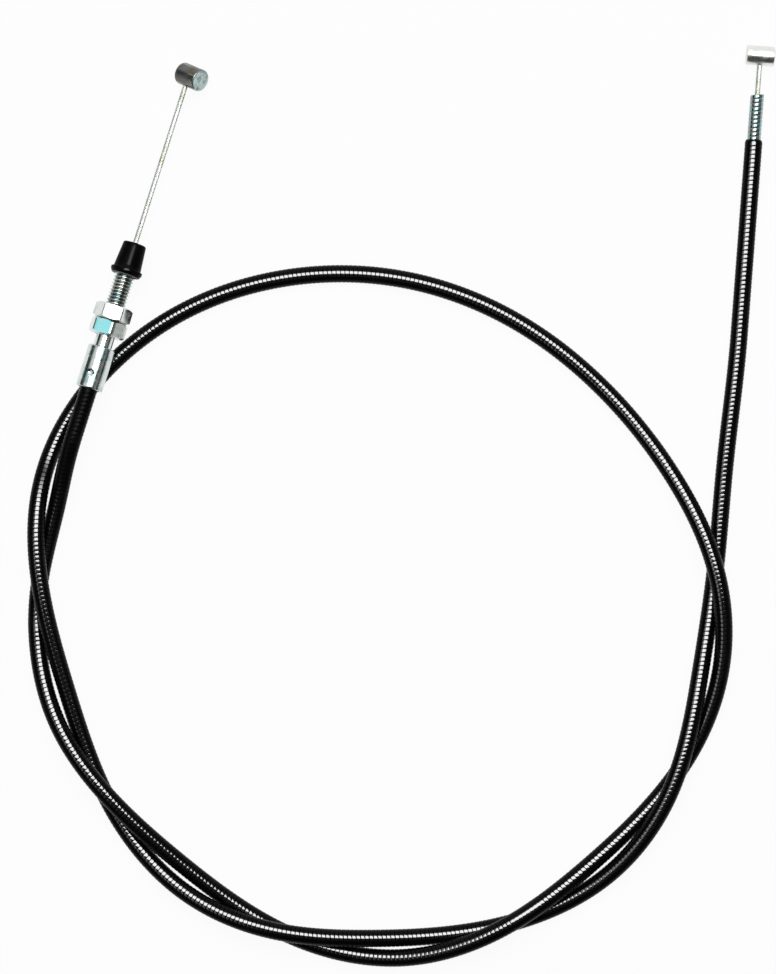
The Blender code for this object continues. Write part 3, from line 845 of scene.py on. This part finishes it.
class CABLE_OT_conduit(bpy.types.Operator):
    """Make the spiral-wound conduit: its bare turns, and the plain length inside the jacket"""

    bl_idname = "throttle_cable.conduit"
    bl_label = "Conduit"

    def execute(self, context):
        settings = context.scene.throttle_cable.casing
        line, _ = casing_line()
        width, height = settings.coil_width / 2, settings.coil_height / 2
        middle = settings.coil_outer / 2 - height
        covered = 0.006
        start = line.length - BARE_CONDUIT - covered
        turns = (BARE_CONDUIT + covered - 2 * width) / settings.coil_pitch
        steps = 36
        count = round(turns * steps)
        section, squareness = 14, 0.42
        angle = 2 * math.pi * np.arange(section) / section
        wide = np.sign(np.cos(angle)) * np.abs(np.cos(angle)) ** squareness * width
        high = np.sign(np.sin(angle)) * np.abs(np.sin(angle)) ** squareness * height
        turn = np.arange(count + 1) / steps
        along = start + width + turn * settings.coil_pitch
        first_turn_at = 2.2
        spin = 2 * math.pi * turn + first_turn_at
        place, up, side = line.at(along[:, None] + wide[None, :])
        points = around(
            place, up, side, np.broadcast_to(spin[:, None], place.shape[:2]),
            np.broadcast_to(middle + high, place.shape[:2]),
        )
        coil = (points.reshape(-1, 3), joined_rings(count + 1, section))
        outer, bore = settings.coil_outer / 2, settings.coil_outer / 2 - settings.coil_height
        hidden = start + 0.0005
        stations = [(hidden * k / 150, outer) for k in range(151)]
        stations += [(hidden - hidden * k / 150, bore) for k in range(151)] + [(0.0, outer)]
        mesh = mesh_of("conduit_skin", [coil, ring_skin(line, stations, 12)], 50.0)
        fill_ends(mesh, section + 2)
        material = fixed_material("conduit_steel", lambda: conduit_steel(settings))
        add_piece("conduit", mesh, material, "casing", ["casing_conduit"])
        return {"FINISHED"}


def stranded(settings, first, last):
    """A straight stranded wire along +Z: a ring of strands laid in a helix round a core."""
    radius = settings.outer / 2
    strands = settings.strands
    half = math.pi / strands
    strand = radius * math.sin(half) / (1 + math.sin(half))
    centre = radius - strand
    offsets = np.array([-1.0, -0.62, -0.2, 0.2, 0.62]) * half
    reach = centre * np.cos(offsets) + np.sqrt(np.maximum(strand**2 - (centre * np.sin(offsets)) ** 2, 0))
    reach = radius - 0.4 * (radius - reach)
    angles = np.concatenate([2 * half * k + offsets for k in range(strands)])
    radii = np.tile(reach, strands)
    count = max(4, round((last - first) / 0.0008))
    along = np.linspace(first, last, count + 1)
    twist = 2 * math.pi * along / settings.lay
    place, up, side = Axis().at(np.broadcast_to(along[:, None], (count + 1, len(angles))))
    radii = np.broadcast_to(radii, place.shape[:2])
    points = around(place, up, side, twist[:, None] + angles[None, :], radii)
    return points.reshape(-1, 3), joined_rings(count + 1, len(angles))


class CABLE_OT_wire(bpy.types.Operator):
    """Make the stranded wire's two sliding ends, and finish the bent length in the casing"""

    bl_idname = "throttle_cable.wire"
    bl_label = "Inner wire"

    def execute(self, context):
        scene_settings = context.scene.throttle_cable
        settings = scene_settings.wire
        nipples = scene_settings.nipples
        material = fixed_material("strand_steel", lambda: strand_steel(settings))
        for side, place, axis, first, nipple_at, size in (
            ("left", LEFT_PLACE, LEFT_AXIS, LEFT_WIRE_STARTS, LEFT_NIPPLE_AT, nipples.left_outer),
            ("right", RIGHT_PLACE, RIGHT_AXIS, RIGHT_WIRE_STARTS, RIGHT_NIPPLE_AT, nipples.right_outer),
        ):
            last = nipple_at + 0.3 * size - 0.0003
            mesh = mesh_of(f"wire_{side}_skin", [stranded(settings, first, last)], 60.0)
            fill_ends(mesh, 5 * settings.strands + 2)
            add_piece(
                f"wire_{side}", mesh, material, f"{side}_wire", [f"inner_wire_{side}_end"],
                axis_matrix(place, axis),
            )
        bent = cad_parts["inner_wire"]
        bent.data.materials.clear()
        bent.data.materials.append(material)
        return {"FINISHED"}


class CABLE_OT_nipples(bpy.types.Operator):
    """Make the two die-cast barrel nipples"""

    bl_idname = "throttle_cable.nipples"
    bl_label = "Nipples"

    def execute(self, context):
        settings = context.scene.throttle_cable.nipples
        left = (
            LEFT_PLACE, LEFT_AXIS, LEFT_NIPPLE_AT, settings.left_outer, settings.left_length,
            (LEFT_NIPPLE_ROLL, LEFT_NIPPLE_SKEW, LEFT_NIPPLE_SHIFT),
            # The left nipple is painted dark as painted shade, with painted highlights on its end faces
            ("dull", settings.dull, 0.4, settings.end),
        )
        right = (
            RIGHT_PLACE, RIGHT_AXIS, RIGHT_NIPPLE_AT, settings.right_outer, settings.right_length,
            (0.0, 0.0, 0.0), ("bright", settings.bright, 0.25, settings.bright),
        )
        for side, values in (("left", left), ("right", right)):
            place, axis, at, outer, length, (roll, skew, shift), (look, *colours) = values
            half, edge, radius = length / 2, 0.00028, outer / 2
            stations = [(-half, 0.0), (-half + 0.00006, radius * 0.5), (-half, radius * 0.8)]
            stations += arc((-half + edge, radius - edge), edge, -90, 0, 4)
            stations += [(-half + edge + (length - 2 * edge) * k / 12, radius) for k in range(1, 12)]
            stations += arc((half - edge, radius - edge), edge, 0, 90, 4)
            stations += [(half, radius * 0.8), (half - 0.00006, radius * 0.5), (half, 0.0)]
            mesh = mesh_of(f"nipple_{side}_skin", [ring_skin(Axis(), stations, 64)], 40.0)
            cast = f"casting_{look}"
            material = fixed_material(cast, lambda: nipple_casting(cast, *colours, half))
            matrix = axis_matrix(place, axis, at) @ Matrix.Rotation(-skew, 4, "Y")
            matrix = matrix @ Matrix.Rotation(-roll, 4, "Z") @ Matrix.Rotation(math.radians(-90), 4, "Y")
            matrix = matrix @ Matrix.Translation((0, 0, shift))
            add_piece(
                f"nipple_{side}_cast", mesh, material, f"{side}_wire", [f"nipple_{side}"], matrix
            )
        return {"FINISHED"}


class CABLE_OT_adjuster(bpy.types.Operator):
    """Make the adjuster: barrel with its crimp mark, neck, and M6 thread"""

    bl_idname = "throttle_cable.adjuster"
    bl_label = "Adjuster"

    def execute(self, context):
        settings = context.scene.throttle_cable.adjuster
        sides = 96
        barrel, neck, thread = settings.barrel / 2, settings.neck / 2, settings.thread / 2
        pitch = settings.thread_pitch
        bore, socket = 0.00117, 0.0029
        top = ADJUSTER_END
        chamfer = 0.0005
        root = 0.00056
        run_in = 0.0003
        threaded = (THREAD_STARTS + run_in, top - chamfer)
        profile = [(0.0, 1.0), (0.10, 1.0), (0.44, 0.0), (0.56, 0.0), (0.90, 1.0)]
        skin = helical_skin(
            Axis(), thread, pitch, profile, sides, *threaded, lambda along: np.full(np.shape(along), root)
        )
        stations = [(top, bore), (top, thread - chamfer), (top - chamfer, thread)]
        upper = ring_skin(Axis(), stations, sides)
        edge = 0.00035
        stations = [(THREAD_STARTS + run_in, thread), (THREAD_STARTS, neck), (BARREL_LENGTH, neck)]
        stations += [(BARREL_LENGTH, neck + 0.0003)]
        stations += arc((BARREL_LENGTH - edge, barrel - edge), edge, 90, 0, 4)
        rings = round((BARREL_LENGTH - 2 * edge) / 0.00022)
        stations += [
            (BARREL_LENGTH - edge - (BARREL_LENGTH - 2 * edge) * k / rings, barrel) for k in range(1, rings)
        ]
        stations += arc((edge, barrel - edge), edge, 0, -90, 4)
        stations += [(0.0, socket + 0.0002), (0.0002, socket), (SOCKET_DEPTH, socket), (SOCKET_DEPTH, bore)]
        stations += [(top, bore)]
        points, faces = ring_skin(Axis(), stations, sides)
        roll, at, dent, size = math.radians(10), 0.0045, 0.00055, 0.00105
        centre = np.array([math.sin(roll) * barrel, math.cos(roll) * barrel, at])
        away = np.linalg.norm(points - centre, axis=1) / size
        outer = np.hypot(points[:, 0], points[:, 1]) > barrel - 0.0001
        push = np.where(outer, np.sqrt(np.clip(1 - away**2, 0, 1)), 0) * dent
        points[:, 0] -= push * centre[0] / barrel
        points[:, 1] -= push * centre[1] / barrel
        mesh = mesh_of("adjuster_skin", [skin, upper, (points, faces)], 32.0)
        material = fixed_material("zinc_plating", lambda: zinc_plating(settings, thread=True))
        add_piece(
            "adjuster_body", mesh, material, "casing", ["adjuster"],
            axis_matrix(LEFT_PLACE, LEFT_AXIS),
        )
        return {"FINISHED"}


def nut_skin(flats, height, bore, chamfer, face_ratio):
    """A hexagon nut's skin: rounded corners, both ends chamfered round, and a chamfered bore."""
    face = flats / 2 * face_ratio
    corner_cut = 0.0002
    turns, radii = [], []
    for side in range(6):
        for offset in (-30, -29.4, -28.6, -27.5, -24, -16, -8, 0, 8, 16, 24, 27.5, 28.6, 29.4):
            angle = math.radians(offset)
            radius = flats / 2 / math.cos(angle)
            limit = flats / 2 / math.cos(math.radians(30)) - corner_cut
            radius = min(radius, limit + 0.3 * (radius - limit)) if radius > limit else radius
            turns.append(math.radians(60 * side) + angle)
            radii.append(radius)
    turns, radii = np.array(turns), np.array(radii)
    corner = flats / 2 / math.cos(math.radians(30))
    fall = np.clip(radii - face, 0, 1) * chamfer / (corner - face)
    lead = 0.0005
    levels = [
        (bore + lead, height), (face, height), (radii, height - fall), (radii, fall), (face, 0.0),
        (bore + lead, 0.0), (bore, lead), (bore, height - lead), (bore + lead, height),
    ]
    points = np.concatenate([
        np.stack([r * np.sin(turns), r * np.cos(turns), np.broadcast_to(z, turns.shape)], 1)
        for r, z in levels
    ])
    return points, joined_rings(len(levels), len(turns))


class CABLE_OT_nuts(bpy.types.Operator):
    """Make the two lock nuts"""

    bl_idname = "throttle_cable.nuts"
    bl_label = "Lock nuts"

    def execute(self, context):
        settings = context.scene.throttle_cable.adjuster
        bore, chamfer, face_ratio, tint_share = 0.0033, 0.0007, 0.94, 0.3
        # The lower nut has one flat painted teal: partly its film, partly a painted reflection
        for name, at, roll, teal in (
            ("lower", LOWER_NUT_AT, LOWER_NUT_ROLL, True), ("upper", UPPER_NUT_AT, UPPER_NUT_ROLL, False),
        ):
            skin = nut_skin(settings.nut_flats, settings.nut_height, bore, chamfer, face_ratio)
            mesh = mesh_of(f"{name}_nut_skin", [skin], 20.0)
            zinc = f"zinc_plating_{name}"
            material = fixed_material(zinc, lambda: zinc_plating(settings, zinc, tint_share, teal))
            matrix = axis_matrix(LEFT_PLACE, LEFT_AXIS, at) @ Matrix.Rotation(roll, 4, "Z")
            add_piece(
                f"{name}_nut_body", mesh, material, f"{name}_nut", [f"{name}_lock_nut"], matrix
            )
        return {"FINISHED"}


class CABLE_OT_boot(bpy.types.Operator):
    """Make the rubber boot on the thread's end"""

    bl_idname = "throttle_cable.boot"
    bl_label = "Rubber boot"

    def execute(self, context):
        settings = context.scene.throttle_cable.adjuster
        height, wall, depth, edge, lip_edge = 0.00985, 0.0011, 0.0059, 0.0006, 0.00012
        lip_top, rim = 0.0019, 0.001
        top, foot, lip, mouth = 0.00345, 0.0041, 0.0047, 0.0041
        hole, grip = 0.00105, 0.0033
        stations = [(height - wall, hole), (height, hole)]
        stations += arc((height - edge, top - edge), edge, 90, 0, 6)
        stations += [
            (height - edge - (height - edge - lip_top - 0.0003) * k / 8, top + (foot - top) * k / 8)
            for k in range(1, 9)
        ]
        stations += [(lip_top + 0.00008, foot + 0.0001), (lip_top, foot + 0.0002)]
        stations += arc((lip_top - lip_edge, lip - lip_edge), lip_edge, 90, 0, 4)
        stations += arc((rim + lip_edge, lip - lip_edge), lip_edge, 0, -60, 3)
        stations += [(0.0002, mouth + 0.0001), (0.0, mouth - 0.0002), (0.0, grip), (depth, grip)]
        stations += [(depth, top - wall), (height - wall, top - wall), (height - wall, hole)]
        mesh = mesh_of("boot_skin", [ring_skin(Axis(), stations, 72)], 45.0)
        material = fixed_material("boot_rubber", lambda: boot_rubber(settings))
        matrix = axis_matrix(LEFT_PLACE, LEFT_AXIS, BOOT_AT)
        add_piece("boot", mesh, material, "casing", ["rubber_boot"], matrix)
        return {"FINISHED"}


class CABLE_OT_cord(bpy.types.Operator):
    bl_idname = "throttle_cable.cord"
    bl_label = "Declare the cord"

    def execute(self, context):
        return {"FINISHED"}


class CABLE_PT_panel(bpy.types.Panel):
    """The throttle cable's pieces"""

    bl_idname = "CABLE_PT_panel"
    bl_label = "Throttle cable"
    bl_space_type = "VIEW_3D"
    bl_region_type = "UI"
    bl_category = "Throttle cable"

    def draw(self, context):
        for operator in OPERATORS:
            self.layout.operator(operator.bl_idname)


SETTINGS = (
    CasingSettings, WireSettings, NippleSettings, AdjusterSettings, StageSettings, ThrottleCableSettings,
)
OPERATORS = (
    CABLE_OT_stage, CABLE_OT_casing, CABLE_OT_conduit, CABLE_OT_wire, CABLE_OT_nipples, CABLE_OT_adjuster,
    CABLE_OT_nuts, CABLE_OT_boot, CABLE_OT_cord,
)


def register():
    for item in (*SETTINGS, *OPERATORS, CABLE_PT_panel):
        bpy.utils.register_class(item)
    bpy.types.Scene.throttle_cable = PointerProperty(type=ThrottleCableSettings)


def unregister():
    del bpy.types.Scene.throttle_cable
    for item in reversed((*SETTINGS, *OPERATORS, CABLE_PT_panel)):
        bpy.utils.unregister_class(item)


def main():
    register()
    for operator in OPERATORS:
        group, name = operator.bl_idname.split(".")
        getattr(getattr(bpy.ops, group), name)()
    bpy.context.view_layer.update()


if __name__ == "__main__":
    main()
